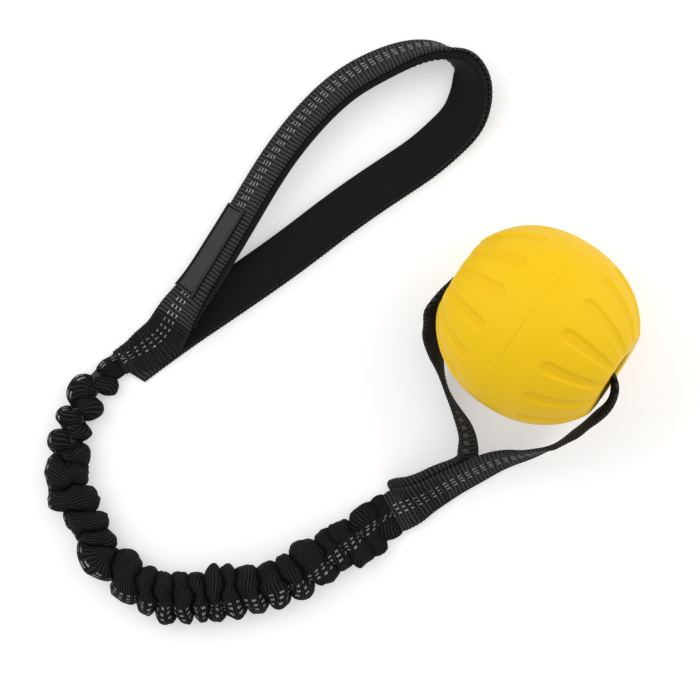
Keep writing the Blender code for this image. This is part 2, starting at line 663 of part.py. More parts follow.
def main():
    for old in list(bpy.data.objects):
        bpy.data.objects.remove(old, do_unlink=True)

    webbing = material("black_webbing", (0.012, 0.012, 0.013), 0.8)
    foam = material("black_foam", (0.008, 0.008, 0.008), 0.9)
    rubber = material("grey_rubber", (0.05, 0.05, 0.055), 0.5)
    yarn = material("black_thread", (0.01, 0.01, 0.01), 0.7)
    elastic = material("elastic", (0.05, 0.05, 0.05), 0.8)
    yellow = material("yellow_foam", (0.90, 0.56, 0.02), 0.6)

    bungee = joint_frame("bungee", loop_start)
    handle_end = joint_frame("handle_end", neck, bungee)
    handle = joint_frame("handle", neck, handle_end)
    ball_loop = joint_frame("ball_loop", loop_start, bungee)
    ball = joint_frame("ball_axis", ball_centre, ball_loop)

    line, hand, carrier = bungee_line(), handle_strap(), loop_strap()
    make_bungee(line, bungee, webbing, elastic)
    bar_tack("ball_end_tack", loop_start, carrier.across[0], WEBBING_WIDTH, yarn, bungee)
    bar_tack("handle_end_tack", neck, hand.across[-1], NECK_WIDTH, yarn, handle_end)
    make_handle(hand, handle, webbing, foam, rubber, yarn)
    make_loop(carrier, ball_loop, webbing, yarn)
    make_ball(ball, yellow)
    print("bungee length", round(line.total, 4), "hand loop", round(hand.total, 4),
          "ball loop", round(carrier.total, 4))


main()
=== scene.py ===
# Fetch ball on a bungee strap, seen from straight above on a white table. Lengths are in metres.
import math
import bpy
import numpy as np
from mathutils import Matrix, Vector


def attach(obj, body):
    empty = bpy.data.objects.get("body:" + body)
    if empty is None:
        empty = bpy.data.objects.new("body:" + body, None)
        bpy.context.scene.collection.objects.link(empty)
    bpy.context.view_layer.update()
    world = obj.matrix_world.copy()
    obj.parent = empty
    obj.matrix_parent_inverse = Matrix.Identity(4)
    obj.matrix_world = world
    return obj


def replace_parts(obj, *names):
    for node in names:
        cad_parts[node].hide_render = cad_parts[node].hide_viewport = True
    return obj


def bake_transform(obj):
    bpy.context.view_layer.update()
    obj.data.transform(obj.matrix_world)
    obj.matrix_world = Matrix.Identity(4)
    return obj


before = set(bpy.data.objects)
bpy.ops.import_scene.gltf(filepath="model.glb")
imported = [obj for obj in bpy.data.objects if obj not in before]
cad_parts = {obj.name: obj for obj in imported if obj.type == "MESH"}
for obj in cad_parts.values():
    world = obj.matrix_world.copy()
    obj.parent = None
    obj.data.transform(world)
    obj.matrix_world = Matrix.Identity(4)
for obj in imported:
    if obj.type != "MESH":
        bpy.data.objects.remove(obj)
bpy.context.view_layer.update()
rng = np.random.default_rng(7)
up = np.array([0.0, 0.0, 1.0])

# Places and sizes that part.py gives
webbingWidth, webbingThickness, layerGap, liningPadding = 0.02, 0.0018, 0.0003, 0.0026
neck = np.array([-0.1143, -0.035, 0.003])
ballCentre = np.array([0.073322, -0.018562, 0.042801])
ballRadius, ballLengthening, ballFullness = 0.0425, 1.05, 2.15
ballFlat = 0.9 * ballLengthening * ballRadius
boreAxis = np.array([0.81836, -0.547844, 0.173648])
# height of the middle of the upper of two layers, and thickness of the webbing with its lining
secondLayer = webbingThickness * 3 / 2 + layerGap
linedStrap = webbingThickness + liningPadding + 2 * layerGap


def heading(angle):
    return np.array([math.cos(angle), math.sin(angle), 0.0])


def unit(vectors):
    return vectors / np.linalg.norm(vectors, axis=-1, keepdims=True)


def smooth(low, high, x):
    # 0 below low, 1 above high, eased between
    t = np.clip((np.asarray(x, float) - low) / (high - low), 0, 1)
    return t * t * (3 - 2 * t)


def readRows(x, rows):
    # value at x on the broken line through rows of place and value
    return np.interp(x, *zip(*rows))


def runningLength(rows):
    # length along a line of points, whose columns after the third don't count
    return np.concatenate([[0.0], np.cumsum(np.linalg.norm(np.diff(rows[:, :3], axis=0), axis=1))])


def naturalCurve(rows, at):
    # natural cubic through the rows, with chord length of the first three columns as parameter
    rows = np.asarray(rows, float)
    knots = runningLength(rows)
    gaps = np.diff(knots)
    system, right = np.eye(len(rows)), np.zeros_like(rows)
    inner = np.arange(1, len(rows) - 1)
    system[inner, inner - 1], system[inner, inner + 1] = gaps[:-1], gaps[1:]
    system[inner, inner] = 2 * (gaps[:-1] + gaps[1:])
    slopes = np.diff(rows, axis=0) / gaps[:, None]
    right[1:-1] = 6 * np.diff(slopes, axis=0)
    bend = np.linalg.solve(system, right)
    x = np.clip(at, 0, 1) * knots[-1]
    i = np.clip(np.searchsorted(knots, x, side="right") - 1, 0, len(rows) - 2)
    step, low, high = gaps[i][:, None], (knots[i + 1] - x)[:, None], (x - knots[i])[:, None]
    return ((bend[i] * low**3 + bend[i + 1] * high**3) / (6 * step)
            + (rows[i] / step - bend[i] * step / 6) * low
            + (rows[i + 1] / step - bend[i + 1] * step / 6) * high)


def middleLine(rows):
    # rows of x, y, z, lean become a fine line with its running length
    fine = naturalCurve(rows, np.linspace(0, 1, 40 * len(rows)))
    run = runningLength(fine)
    slopes = np.gradient(fine[:, :3], run, axis=0)
    return {"fine": fine, "run": run, "slopes": slopes, "total": run[-1]}


def along(line, run):
    # centre, direction, across and normal at lengths along a line: across is level where the
    # lean is 0 and upright where it is 90 degrees
    run = np.asarray(run, float)
    rows = np.stack([np.interp(run, line["run"], c) for c in line["fine"].T], axis=-1)
    ahead = unit(np.stack([np.interp(run, line["run"], c) for c in line["slopes"].T], axis=-1))
    left = unit(np.stack([-ahead[..., 1], ahead[..., 0], 0 * run], axis=-1))
    lean = rows[..., 3:4]
    across = np.cos(lean) * left + np.sin(lean) * up
    across = unit(across - (across * ahead).sum(-1, keepdims=True) * ahead)
    return rows[..., :3], ahead, across, np.cross(ahead, across)


def restHeight(lean, flat, turned):
    # height of a leaning strap's middle over the table, which is flat or turned when it lies on a face
    return (webbingWidth / 2 * math.sin(lean) + max(math.cos(lean), 0) * flat
            + max(-math.cos(lean), 0) * turned)


def newObject(name, points, faces, material, body=None, uv=None):
    # uv has a row for each corner of each face
    mesh = bpy.data.meshes.new(name)
    mesh.from_pydata(points.reshape(-1, 3).tolist(), [], faces)
    if uv is not None:
        layer = mesh.uv_layers.new(name="UVMap")
        layer.data.foreach_set("uv", np.ascontiguousarray(uv, np.float32).ravel())
    mesh.shade_smooth()
    mesh.validate()
    mesh.materials.append(material)
    piece = bpy.data.objects.new(name, mesh)
    bpy.context.collection.objects.link(piece)
    if body:
        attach(piece, body)
    return piece


def ringFaces(rows, columns, flip=False):
    # quads between closed rings of points, and their corners in a uv grid one column wider
    i, j = np.meshgrid(np.arange(rows - 1), np.arange(columns), indexing="ij")
    i, j = i.ravel(), j.ravel()
    k, wide = (j + 1) % columns, columns + 1
    faces = np.stack([i * columns + j, i * columns + k, (i + 1) * columns + k, (i + 1) * columns + j], 1)
    corners = np.stack([i * wide + j, i * wide + j + 1, (i + 1) * wide + j + 1, (i + 1) * wide + j], 1)
    return (faces[:, ::-1], corners[:, ::-1]) if flip else (faces, corners)


def tubeSurface(name, points, uv, material, body=None, flip=False):
    # rings of points joined into a tube, with a fan over each end
    rows, columns = points.shape[:2]
    faces, corners = ringFaces(rows, columns, flip)
    flatUv = uv.reshape(-1, 2)
    ends = np.stack([points[0].mean(0), points[-1].mean(0)])
    j = np.arange(columns)
    k = (j + 1) % columns
    lastRing, firstEnd = (rows - 1) * columns, rows * columns
    fans = np.vstack([np.stack([k, j, np.full(columns, firstEnd)], 1),
                      np.stack([lastRing + j, lastRing + k, np.full(columns, firstEnd + 1)], 1)])
    if flip:
        fans = fans[:, ::-1]
    allPoints = np.vstack([points.reshape(-1, 3), ends])
    allUv = np.vstack([flatUv[corners].reshape(-1, 2), np.repeat(flatUv[[0, -1]], 3 * columns, axis=0)])
    return newObject(name, allPoints, faces.tolist() + fans.tolist(), material, body, allUv)


class Signal:
    # a value in a material's node tree: arithmetic on it adds Math nodes
    def __init__(self, tree, socket):
        self.tree, self.socket = tree, socket

    def __add__(self, other):
        return reckon("ADD", self, other)

    def __sub__(self, other):
        return reckon("SUBTRACT", self, other)

    def __rsub__(self, other):
        return reckon("SUBTRACT", other, self)

    def __mul__(self, other):
        return reckon("MULTIPLY", self, other)

    def __truediv__(self, other):
        return reckon("DIVIDE", self, other)

    def __pow__(self, other):
        return reckon("POWER", self, other)

    def __lt__(self, other):
        return reckon("LESS_THAN", self, other)

    def __abs__(self):
        return reckon("ABSOLUTE", self)


def reckon(operation, *values):
    # one Math node on signals and numbers
    tree = next(value.tree for value in values if isinstance(value, Signal))
    node = tree.nodes.new("ShaderNodeMath")
    node.operation = operation
    for socket, value in zip(node.inputs, values):
        if isinstance(value, Signal):
            tree.links.new(value.socket, socket)
        else:
            socket.default_value = value
    return Signal(tree, node.outputs[0])


def within(value, low, high):
    # 1 between low and high: |value - their mean| is less than half their distance
    return abs(value - (low + high) / 2) < (high - low) / 2


def wave(phase):
    # |sin(pi phase)|
    return abs(reckon("SINE", phase * math.pi))


def newMaterial(name, **sockets):
    made = bpy.data.materials.new(name)
    made.use_nodes = True
    shader = made.node_tree.nodes["Principled BSDF"]
    for socket, value in sockets.items():
        shader.inputs[socket.replace("_", " ")].default_value = value
    return made, made.node_tree, shader


def uvParts(tree):
    split = tree.nodes.new("ShaderNodeSeparateXYZ")
    source = tree.nodes.new("ShaderNodeUVMap")
    source.uv_map = "UVMap"
    tree.links.new(source.outputs[0], split.inputs[0])
    return Signal(tree, split.outputs[0]), Signal(tree, split.outputs[1])


def noise(tree, scale, detail):
    node = tree.nodes.new("ShaderNodeTexNoise")
    node.inputs["Scale"].default_value = scale
    node.inputs["Detail"].default_value = detail
    node.inputs["Roughness"].default_value = 0.6
    place = tree.nodes.new("ShaderNodeTexCoord")
    tree.links.new(place.outputs["Object"], node.inputs["Vector"])
    return Signal(tree, node.outputs["Fac"])


def blendColours(factor, one, two):
    # one where the factor is 0 and two where it is 1
    links = factor.tree.links
    node = factor.tree.nodes.new("ShaderNodeMix")
    node.data_type = "RGBA"
    links.new(factor.socket, node.inputs["Factor"])
    for socket, value in zip([s for s in node.inputs if s.type == "RGBA"], (one, two)):
        if isinstance(value, tuple):
            socket.default_value = value
        else:
            links.new(value, socket)
    return next(s for s in node.outputs if s.type == "RGBA")


def finish(shader, colour, height, depth):
    # the colour, and a bump as deep as depth where the height is 1
    tree = height.tree
    tree.links.new(colour, shader.inputs["Base Color"])
    bump = tree.nodes.new("ShaderNodeBump")
    bump.inputs["Distance"].default_value = depth
    tree.links.new(height.socket, bump.inputs["Height"])
    tree.links.new(bump.outputs[0], shader.inputs["Normal"])


webbingLook = {
    "crest": (0.06, 0.06, 0.0612, 1), "valleyShade": (0.0045, 0.0045, 0.005, 1), "bumpDepth": 0.0005,
    "ribPitch": 0.00185, "ribPower": 0.7, "sharpness": 1.4, "yarnPitch": 0.00066, "fuzzScale": 2600.0,
    # ribs waver by up to half of waver, in ribs
    "waver": 0.9, "waverScale": 170.0,
    # dashes lie in threes across the strap, one three for two ribs; their middle row is off the
    # strap's middle by outerRow, or by innerRow on the back
    "dash": (0.46, 0.47, 0.48, 1), "rowGap": 0.0022, "outerRow": 0.0, "innerRow": 0.0, "stagger": 0.08,
    "dashPeriod": 0.0037, "dashShare": 0.43, "dashHalfWidth": 0.00029, "dashCover": 0.9,
    # lengths between which it is sewn through, and between which no dashes show
    "sewn": None, "knotScale": 1100.0, "knotRise": 2.6, "plain": None,
    # painted shade: gathered webbing is painted darker, a little all over and most in its creases
    "gathered": False, "topShade": 0.34, "creaseShade": 0.62,
}


def webbingMaterial(name, **own):
    # cross ribs |sin| of the length over their pitch, split into yarns across the strap; the colour is
    # painted dark in the rib valleys as shade
    look = {**webbingLook, **own}
    made, tree, shader = newMaterial(name, Roughness=0.7, Specular_IOR_Level=0.08)
    sideways, length = uvParts(tree)
    phase = length / look["ribPitch"] + (noise(tree, look["waverScale"], 3.0) - 0.5) * look["waver"]
    rib = wave(phase)
    yarn = wave(sideways / look["yarnPitch"] + reckon("FLOOR", phase) * 0.5)
    fuzz = noise(tree, look["fuzzScale"], 2.0)
    cloth = rib**look["ribPower"] * (yarn * 0.3 + 0.7) + fuzz * 0.3
    shade = rib**look["sharpness"] * (fuzz + 0.45) * (yarn * 0.4 + 0.65)
    if look["sewn"]:
        # rows of black stitches hide the ribs where the layers are sewn together
        inside = within(length, *look["sewn"])
        knots = (noise(tree, look["knotScale"], 2.0) - 0.35) * look["knotRise"]
        cloth = cloth * (1.0 - inside * 0.6) + inside * knots
        shade = shade * (1.0 - inside * 0.75) + inside * (knots * 0.42)
    # painted shade: the colour goes from the dark valley colour in the rib valleys to the crest colour on the
    # rib tops
    colour = blendColours(shade, look["valleyShade"], look["crest"])
    onBack = reckon("ROUND", sideways)
    middle = onBack * (1.0 + look["innerRow"] - look["outerRow"]) + look["outerRow"]
    rows = (sideways - middle) / look["rowGap"]
    nearest = reckon("ROUND", rows)
    onRow = abs(rows - nearest) < look["dashHalfWidth"] / look["rowGap"]
    group = reckon("FRACT", length / look["dashPeriod"] + nearest * look["stagger"])
    half = look["dashShare"] / 2
    mask = onRow * (abs(nearest) < 1.5) * within(group, 0.5 - half, 0.5 + half)
    if look["plain"]:
        mask = mask * (1.0 - within(length, *look["plain"]))
    colour = blendColours(mask * look["dashCover"], colour, look["dash"])
    # painted shade: the gathered sleeve's colour is pulled towards the dark valley colour, a little
    # everywhere and most in its creases
    if look["gathered"]:
        hollow = tree.nodes.new("ShaderNodeAttribute")
        hollow.attribute_name = "hollow"
        deep = Signal(tree, hollow.outputs["Fac"])
        colour = blendColours(deep * look["creaseShade"] + look["topShade"], colour, look["valleyShade"])
    finish(shader, colour, cloth, look["bumpDepth"])
    return made


def grainyMaterial(name, colour, rough, grainScale, grainDepth, **sockets):
    # one colour, a quarter darker in the hollows of a fine grain
    made, tree, shader = newMaterial(name, Roughness=rough, **sockets)
    grain = noise(tree, grainScale, 4.0)
    dark = tuple(0.75 * c for c in colour[:3]) + (1,)
    finish(shader, blendColours(grain, dark, colour), grain, grainDepth)
    return made


# the sleeve's webbing is painted darker than the straps' as shade: a darker crest and narrower lit rib tops
sleeveWebbing = webbingMaterial("sleeveWebbing", ribPitch=0.0013, gathered=True, sharpness=4.0,
                                dashHalfWidth=0.00042, crest=(0.042, 0.042, 0.043, 1))
foamLining = grainyMaterial("liningFoam", (0.0048, 0.0048, 0.0052, 1), 0.85, 1800.0, 0.0002,
                            Sheen_Weight=0.06, Specular_IOR_Level=0.2)
threadBlack = grainyMaterial("blackThread", (0.008, 0.008, 0.0085, 1), 0.7, 3000.0, 0.0001,
                             Specular_IOR_Level=0.2)
elasticGrey = grainyMaterial("elasticYarn", (0.03, 0.03, 0.03, 1), 0.8, 1500.0, 0.0002)
print("finishes made")

# Camera, lamps and table
studio = {
    "lens": 111.6, "sensor": 36, "camera": (-0.0095, -0.0295, 1.0),
    # name, place, width, height and power of each lamp
    "lamps": [
        ("leftSoftbox", (-0.75, 0.35, 0.7), 1.0, 1.0, 4.0),
        ("rightSoftbox", (0.95, 0.35, 0.55), 1.0, 1.2, 4.2),
        ("topSoftbox", (0.0, 0.5, 1.5), 1.6, 1.2, 2.8),
    ],
    "sky": 0.64, "tableHalf": 4.0, "tableGrey": 0.9, "glow": 2.1, "glowShare": 0.18,
}
cameraData = bpy.data.cameras.new("camera")
cameraData.lens, cameraData.sensor_width = studio["lens"], studio["sensor"]
camera = bpy.data.objects.new("camera", cameraData)
camera.location = studio["camera"]
bpy.context.collection.objects.link(camera)
bpy.context.scene.camera = camera
bpy.context.scene.view_settings.view_transform = "Standard"

for lampName, place, width, height, power in studio["lamps"]:
    light = bpy.data.lights.new(lampName, "AREA")
    light.shape, light.size, light.size_y, light.energy = "RECTANGLE", width, height, power
    lamp = bpy.data.objects.new(lampName, light)
    lamp.location = place
    lamp.rotation_euler = (-Vector(place)).to_track_quat("-Z", "Y").to_euler()
    bpy.context.collection.objects.link(lamp)

world = bpy.data.worlds.new("studio")
world.use_nodes = True
world.node_tree.nodes["Background"].inputs["Color"].default_value = (1, 1, 1, 1)
world.node_tree.nodes["Background"].inputs["Strength"].default_value = studio["sky"]
bpy.context.scene.world = world

# the camera sees the table glow a little over its own white, and the toy doesn't
tableWhite, tableTree, tableShader = newMaterial("paleTable", Roughness=0.9, Specular_IOR_Level=0.0)
tableShader.inputs["Base Color"].default_value = (studio["tableGrey"],) * 3 + (1,)
paths = tableTree.nodes.new("ShaderNodeLightPath")
glow = tableTree.nodes.new("ShaderNodeEmission")
glow.inputs["Strength"].default_value = studio["glow"]
share = tableTree.nodes.new("ShaderNodeMixShader")
direct, mirrored, through = (Signal(tableTree, paths.outputs[ray])
                             for ray in ("Is Camera Ray", "Is Glossy Ray", "Is Transmission Ray"))
seen = reckon("MAXIMUM", reckon("MAXIMUM", direct, mirrored), through)
tableTree.links.new((seen * studio["glowShare"]).socket, share.inputs["Fac"])
tableTree.links.new(tableShader.outputs[0], share.inputs[1])
tableTree.links.new(glow.outputs[0], share.inputs[2])
tableTree.links.new(share.outputs[0], tableTree.nodes["Material Output"].inputs["Surface"])
tableCorners = studio["tableHalf"] * np.array([(-1, -1, 0), (1, -1, 0), (1, 1, 0), (-1, 1, 0)])
table = newObject("table", tableCorners, [[0, 1, 2, 3]], tableWhite)
print("camera and table set")

# Bungee: gathered webbing over an elastic cord
bungee = {
    "span": 0.1432, "heading": math.radians(-28.8), "hingeGap": 0.0011, "lobeRings": 34, "sides": 100,
    "diameter": 0.025,
    # along and across from the neck, in spans
    "route": [
        (0, 0), (-0.007, -0.013), (-0.022, -0.04), (-0.036, -0.084), (-0.046, -0.132), (-0.042, -0.18),
        (-0.038, -0.226), (-0.03, -0.272), (-0.014, -0.316), (0.005, -0.356), (0.026, -0.396), (0.05, -0.43),
        (0.082, -0.462), (0.12, -0.49), (0.158, -0.514), (0.198, -0.542), (0.244, -0.566), (0.294, -0.582),
        (0.342, -0.594), (0.39, -0.6), (0.438, -0.598), (0.487, -0.584), (0.54, -0.558), (0.598, -0.52),
        (0.655, -0.477), (0.716, -0.43), (0.768, -0.382), (0.815, -0.324), (0.856, -0.252), (0.902, -0.164),
        (0.948, -0.081), (0.985, -0.023), (1, 0),
    ],
    # crease at the outer side: share of the length, mm from the middle; the same at the inner side
    "creases": [
        (0, 5.6, 0, 5.2), (0.048, 1.6, 0.022, 5.6), (0.052, 1.6, 0.068, 3.4), (0.113, 5.1, 0.08, 3.2),
        (0.116, 5.1, 0.13, 4.3), (0.154, 4.9, 0.134, 4.6), (0.158, 4.9, 0.172, 5.9), (0.198, 7.4, 0.177, 6),
        (0.202, 7.4, 0.218, 8.3), (0.258, 10, 0.263, 7.3), (0.295, 4.9, 0.324, 6.6), (0.349, 6.6, 0.359, 9.3),
        (0.359, 6.8, 0.404, 6.9), (0.446, 4.9, 0.416, 6.9), (0.5, 6.6, 0.475, 7.8), (0.53, 6.8, 0.516, 10.2),
        (0.566, 7.6, 0.551, 10.2), (0.594, 7.6, 0.589, 10), (0.617, 10.6, 0.621, 9.4),
        (0.649, 9.6, 0.65, 10.6), (0.69, 8.5, 0.676, 9.5), (0.728, 7.5, 0.718, 8.5), (0.767, 8.4, 0.763, 9.4),
        (0.81, 7.6, 0.795, 8.9), (0.861, 10, 0.851, 8.4), (0.887, 10.2, 0.883, 9.4), (0.929, 12.6, 0.923, 7),
        (0.965, 10.2, 0.975, 9.6), (1, 9.6, 1, 9.6),
    ],
    # between two creases: outer peak, inner peak and height of the top in mm
    "lobes": [
        (5.4, 5.8, 2.6), (2, 9.4, 4.8), (9.9, 3.4, 6.2), (5, 10, 6.4), (9.6, 4.6, 6.6), (4.9, 9.4, 6.6),
        (10.2, 6, 7.4), (7.4, 9.6, 7.6), (10.8, 9, 8.8), (11.2, 11.2, 9.6), (7.6, 10.6, 9.4), (7.4, 9.8, 8.4),
        (10.8, 7, 8.8), (10.6, 11.6, 9.6), (11, 11.4, 9.6), (13.4, 11.2, 9.8), (12.2, 11.4, 9.8),
        (12.8, 10.6, 9.6), (12.8, 14.2, 10), (13, 13, 10.2), (12.6, 11.2, 10.2), (12.4, 9.8, 10),
        (12.6, 10.6, 10), (12.2, 13, 9.8), (11.4, 10.2, 8.4), (13.8, 10.2, 7.6), (14.2, 10.6, 5.6),
        (10.8, 10.8, 2.8),
    ],
    # share of the length and height of the sleeve's middle over the table, in mm, before liftShare
    "heights": [(0, 5), (0.08, 5.6), (0.15, 6.4), (0.3, 7.6), (0.45, 8.6), (0.6, 9.2), (0.76, 9.4),
                (0.9, 6.8), (1, 3.4)],
    "liftShare": 0.92, "risenBy": (0.09, 0.1), "lowest": 0.0004,
    # heights in mm at both ends, and as shares of the distance from the two ends
    "endHeight": 0.5, "endSlopes": (0.8, 0.3),
    # shares: a crease's height of its lobes', its wavering of the length twice and five times round
    "creaseHeight": 0.46, "wobbles": ((2, 0.0055), (5, 0.0025)), "fullLobe": 0.03,
    # the last of these sets how narrow the painted crease shade is
    "dentDepth": 0.22, "dentWidth": 0.28, "dentTurn": 1.3, "hollowPower": 1.3,
    # depth, cell and cells round of each crumple, which fade out at both ends
    "crumples": ((0.00048, 0.004, 9), (0.00022, 0.0018, 16)), "calmEnds": 0.05,
    # how far the ribs drift along the sleeve on their way round it
    "drifts": (0.0024, 0.0007),
    # where round the sleeve the middle row of dashes runs, by share of the length
    "dashAngles": [(0, 150), (0.1, 160), (0.3, 170), (0.42, 150), (0.5, 136), (0.8, 130), (0.9, 105),
                   (1, 88)], "dashRadius": 0.0095,
    "coreRings": 160, "coreSides": 24, "coreRadius": 0.004, "coreFlat": (0.0045, 0.0004),
    "coreShort": 0.0012,
}
bungeeAlong, bungeeLeft = heading(bungee["heading"]), heading(bungee["heading"] + math.pi / 2)
bungeeRows = [(*(neck + bungee["span"] * (a * bungeeAlong + b * bungeeLeft))[:2], 0.0, 0.0)
              for a, b in bungee["route"]]
bungeeLine = middleLine(bungeeRows)


def sleeveLift(share):
    # height of the sleeve's middle over the table, and how far it has risen from the flat ends
    afterFirst, beforeLast = bungee["risenBy"]
    rounded = smooth(0, afterFirst, share) * smooth(0, beforeLast, 1 - share)
    high = readRows(share, bungee["heights"]) * 1e-3 * bungee["liftShare"]
    return secondLayer + rounded * (high - secondLayer), rounded


def crumple(length, theta, cell, turns):
    # smooth random field, periodic in theta: random values on a grid of cells, eased between them
    rows = int(length.max() / cell) + 4
    grid = rng.normal(0, 1, (rows, turns))
    x, y = length / cell + 1, (theta / (2 * math.pi) % 1) * turns
    i, j = x.astype(int), y.astype(int)
    a, b = x - i, y - j
    a, b = a * a * (3 - 2 * a), b * b * (3 - 2 * b)
    near = grid[i, j % turns] * (1 - b) + grid[i, (j + 1) % turns] * b
    far = grid[i + 1, j % turns] * (1 - b) + grid[i + 1, (j + 1) % turns] * b
    return near * (1 - a) + far * a


def sleeveSurface(line, look):
    # each gather is a cycloid arch between two crease lines: t = x - sin(2 pi x) / 2 pi along the
    # bungee and (1 - cos 2 pi x) / 2 out of it, between the crease's and the lobe's own girths;
    # a dent on each lobe and a crumple over all of it break the roundness; a weight for painted shade in the
    # creases comes back too
    creases, lobes = np.array(look["creases"]), np.array(look["lobes"])
    count, steps, sides = len(lobes), look["lobeRings"], look["sides"]
    theta = np.linspace(-math.pi / 2, 1.5 * math.pi, sides + 1)
    inward, outward = np.maximum(np.cos(theta), 0)**2, np.maximum(-np.cos(theta), 0)**2
    upright = np.sin(theta)**2
    mean, half = (creases[:, 0] + creases[:, 2]) / 2, (creases[:, 2] - creases[:, 0]) / 2
    phases = rng.uniform(0, 2 * math.pi, (2, count + 1))
    wobble = sum(size * np.sin(times * theta + phase[:, None]) * np.abs(np.sin(theta))
                 for (times, size), phase in zip(look["wobbles"], phases))
    wobble[[0, -1]] = 0
    creaseAt = mean[:, None] + half[:, None] * np.cos(theta) + wobble
    creaseAt = np.maximum.accumulate(creaseAt, axis=0)
    lobeTops = lobes[:, 2]
    creaseTops = np.pad(look["creaseHeight"] * (lobeTops[1:] + lobeTops[:-1]) / 2, 1,
                        constant_values=look["endHeight"])
    creaseR = creases[:, 3:4] * inward + creases[:, 1:2] * outward + creaseTops[:, None] * upright
    lobeR = lobes[:, 1:2] * inward + lobes[:, 0:1] * outward + lobes[:, 2:3] * upright
    dentAt = rng.uniform(0.25, 0.75, count) * math.pi
    dentDeep = rng.uniform(0.3, 1.0, count) * look["dentDepth"]

    # grids of lobe, ring and side
    x = np.arange(steps)[None, :, None] / steps
    arch = (1 - np.cos(2 * math.pi * x)) / 2
    shift = x - np.sin(2 * math.pi * x) / (2 * math.pi)
    span = np.diff(creaseAt, axis=0)[:, None]
    at = creaseAt[:-1, None] + shift * span
    low = creaseR[:-1, None] + np.diff(creaseR, axis=0)[:, None] * shift
    rise = np.maximum(lobeR[:, None] - low, 0) * smooth(0.0, look["fullLobe"], span)
    lean = theta - dentAt[:, None, None] + look["dentTurn"] * (x - 0.5)
    dent = dentDeep[:, None, None] * np.exp(-(lean / look["dentWidth"])**2)
    radius = (low + rise * arch) * (1 - dent * (0.3 + 0.7 * arch) * (lobeTops[:, None, None] / 10))
    # painted shade: 1 in each crease, fading to 0 on the lobe's top
    hollow = np.broadcast_to((1 - arch)**look["hollowPower"], at.shape)
    at, radius, hollow = (np.vstack([grid.reshape(-1, sides + 1), end[None]])
                          for grid, end in ((at, creaseAt[-1]), (radius, creaseR[-1]), (hollow, 0 * theta)))
    radius = radius * 1e-3

    # length over the crown of the gathers, which carries the ribs
    crown = np.sin(theta) > 0.2
    path = np.hypot(np.diff(at * line["total"], axis=0), np.diff(radius, axis=0))[:, crown]
    length = np.concatenate([[0.0], np.cumsum(path.mean(1))])
    once, twice = look["drifts"]
    field = length[:, None] + once * np.sin(theta + 3 * np.sin(5 * at)) + twice * np.sin(2 * theta + 9 * at)
    around = np.broadcast_to(theta, at.shape)
    fade = smooth(0.0, look["calmEnds"], at) * smooth(0.0, look["calmEnds"], 1 - at)
    radius = radius + fade * sum(depth * crumple(field, around, cell, turns)
                                 for depth, cell, turns in look["crumples"])
    lift, _ = sleeveLift(at)
    centre, _, across, _ = along(line, look["hingeGap"] + at * (line["total"] - 2 * look["hingeGap"]))
    # near both ends the height h is held to c h / sqrt(h^2 + c^2), so that the straps can fold over
    firstSlope, lastSlope = look["endSlopes"]
    room = look["endHeight"] * 1e-3 + np.minimum(firstSlope * at, lastSlope * (1 - at)) * line["total"]
    height = radius * np.sin(theta)
    height = height * room / np.hypot(height, room)
    points = centre + (radius * np.cos(theta))[..., None] * across + (height + lift)[..., None] * up
    points[..., 2] = np.maximum(points[..., 2], look["lowest"])
    dashAngle = np.radians(readRows(at.mean(1), look["dashAngles"]))
    uv = np.stack([(theta - dashAngle[:, None]) * look["dashRadius"], field], -1)
    return points[:, :-1], uv, hollow[:, :-1]


sleevePoints, sleeveUv, sleeveCreaseShade = sleeveSurface(bungeeLine, bungee)
sleeve = tubeSurface("gatheredSleeve", sleevePoints, sleeveUv, sleeveWebbing, flip=True)
# painted shade of the creases, kept on the sleeve's points for its material
hollowOf = sleeve.data.attributes.new("hollow", "FLOAT", "POINT")
hollowOf.data.foreach_set("value", np.append(sleeveCreaseShade.ravel(), [0, 0]).astype(np.float32))

# the cord is flat at both tacks and round between them
coreAt = np.linspace(0.0, 1.0, bungee["coreRings"])
coreLift, coreRound = sleeveLift(coreAt)
coreInset = bungee["hingeGap"] + bungee["coreShort"]
coreCentre, _, coreAcross, _ = along(bungeeLine, coreInset + coreAt * (bungeeLine["total"] - 2 * coreInset))
coreTheta = np.linspace(0, 2 * math.pi, bungee["coreSides"], endpoint=False)
coreWide, coreHigh = ((flat + coreRound * (bungee["coreRadius"] - flat))[:, None]
                      for flat in bungee["coreFlat"])
corePoints = (coreCentre[:, None] + (coreWide * np.cos(coreTheta))[..., None] * coreAcross[:, None]
              + (coreHigh * np.sin(coreTheta) + coreLift[:, None])[..., None] * up)
coreUv = np.zeros((bungee["coreRings"], bungee["coreSides"] + 1, 2))
core = tubeSurface("elasticCord", corePoints, coreUv, elasticGrey, flip=True)
for piece, node in ((sleeve, "bungee_sleeve"), (core, "elastic_core")):
    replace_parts(piece, node)
    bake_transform(piece)
pathPoints = coreCentre + coreLift[:, None] * up
print("bungee made", len(sleeve.data.polygons), "faces")

# Straps of flat webbing
strapLook = {
    "ribDepth": 0.00038, "scallop": 0.00034, "station": 0.00031, "faceSteps": 12, "edgeSteps": 4,
    # share of the thickness beside a hinge, which grows to all of it between two distances from it
    "pressed": 0.7, "pressedFrom": 0.0015, "pressedTo": 0.0065,
    # a slanting cut reaches this far from the middle, over this width and length
    "cutFrom": 0.01, "cutWide": 0.009, "cutLong": 0.012,
}


